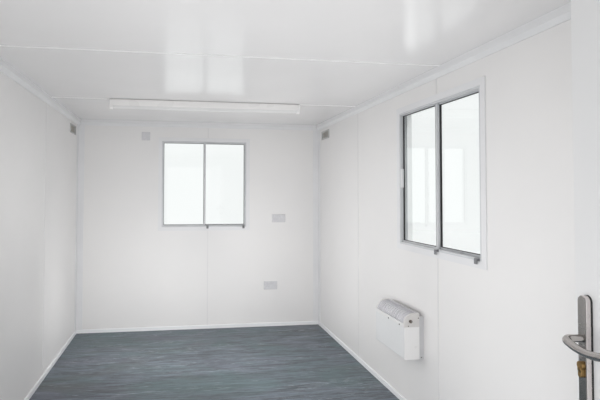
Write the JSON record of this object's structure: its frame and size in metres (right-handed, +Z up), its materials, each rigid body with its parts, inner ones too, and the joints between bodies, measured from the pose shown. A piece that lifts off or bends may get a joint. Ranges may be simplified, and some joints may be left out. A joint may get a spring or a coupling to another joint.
{
  "type": "portable site cabin",
  "caption": "Single-room portable site cabin on a steel frame, with white lined walls, sliding windows, a hinged door with lever handle, wall heater and batten light.",
  "frame": {"origin": "on the ground, at the centre of the cabin's footprint", "axes": "+Y along the room from the door end to the far window, +X to the right looking in from the door, +Z up"},
  "size_m": [2.74, 5.27, 2.5749],
  "materials": {
    "steel_green": "satin",
    "steel_white": "satin",
    "galvanised": "matt",
    "wall_core": "matt",
    "lining_white": "satin",
    "ceiling_white": "gloss",
    "trim_white": "satin",
    "deck_ply": "matt",
    "floor_vinyl": "satin",
    "window_alu": "satin",
    "glass": "clear",
    "seal_black": "matt",
    "hook_grey": "satin",
    "door_white": "satin",
    "stainless": "brushed",
    "brass": "satin",
    "heater_white": "satin",
    "heater_grey": "satin",
    "light_white": "gloss",
    "diffuser": "gloss",
    "plate_white": "gloss",
    "vent_white": "satin"
  },
  "bodies": {
    "cabin": {"corner_posts": "steel_green", "base_rails": "steel_green", "roof_rails": "steel_green", "floor_joists": "galvanised", "roof_joists": "galvanised", "floor_deck": "deck_ply", "floor_vinyl": "floor_vinyl", "left_wall": "wall_core", "right_wall": "wall_core", "rear_wall": "wall_core", "front_wall_left": "wall_core", "front_wall_right": "wall_core", "front_wall_over_door": "wall_core", "side_cladding": "steel_white", "end_cladding": "steel_white", "left_lining": "lining_white", "right_lining": "lining_white", "rear_lining": "lining_white", "front_lining": "lining_white", "ceiling_boards": "ceiling_white", "joint_strips": "trim_white", "coving": "trim_white", "skirting": "trim_white", "corner_trims": "trim_white", "rear_window_frame": "window_alu", "rear_window_sashes": "window_alu", "side_window_frame": "window_alu", "side_window_sashes": "window_alu", "window_glass": "glass", "window_seals": "seal_black", "window_trims": "trim_white", "window_reveals": "trim_white", "window_hooks": "hook_grey", "window_pull": "trim_white", "door_frame": "trim_white", "door_threshold": "galvanised", "door_trim": "trim_white", "hinge_jamb_halves": "stainless", "light_body": "light_white", "light_diffuser": "diffuser", "light_caps": "light_white", "heater_case": "heater_white", "heater_ends": "heater_grey", "heater_grille": "heater_grey", "heater_brackets": "galvanised", "wall_plates": "plate_white", "wall_vents": "vent_white", "roof_sheet": "steel_white", "ridge_cap": "steel_white", "roof_gables": "steel_green", "lifting_eyes": "steel_green"},
    "door": {"door_leaf": "door_white", "lock_faceplate": "stainless", "handle_plates": "stainless", "lock_cylinder": "brass", "hinge_door_halves": "stainless"},
    "lever": {"lever_handles": "stainless"}
  },
  "joints": [
    {"name": "door_hinge", "type": "hinge", "parent": "cabin", "child": "door", "pos_m": [0.475, -2.534, 0.208], "axis": [0, 0, 1], "range_deg": [-30, 100]},
    {"name": "lever_turn", "type": "hinge", "parent": "door", "child": "lever", "pos_m": [0.60353, -1.62653, 1.327], "axis": [0.9848, -0.1736, 0], "range_deg": [0, 40], "stiffness_Nm_per_rad": 0.8, "springref_deg": -40.11}
  ]
}
